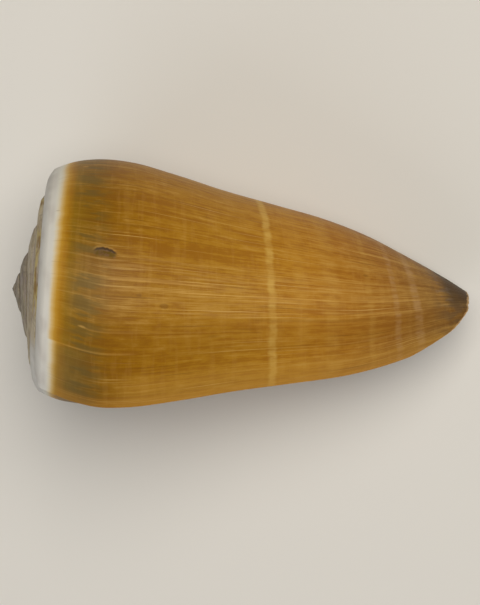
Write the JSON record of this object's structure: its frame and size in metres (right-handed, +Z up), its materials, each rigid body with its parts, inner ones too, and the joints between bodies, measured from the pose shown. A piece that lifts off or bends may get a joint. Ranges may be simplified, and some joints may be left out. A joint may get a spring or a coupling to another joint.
{
  "type": "cone shell",
  "caption": "Dried cone-shaped sea snail shell with a low stepped spire and a long narrow aperture, lying on its flank as a natural decoration.",
  "frame": {"origin": "centre of the bounding box's footprint, on the surface that the shell rests on", "axes": "+X towards the narrow front end, spire towards -X, +Z up with the shell lying on its flank, lip edge on the -Y side above the ground"},
  "size_m": [0.049, 0.0268, 0.029],
  "materials": {
    "shell": "satin, golden brown with fine lengthwise growth lines, a white shoulder band and a weathered grey spire"
  },
  "bodies": {
    "root": {"shell": "shell"}
  },
  "joints": []
}
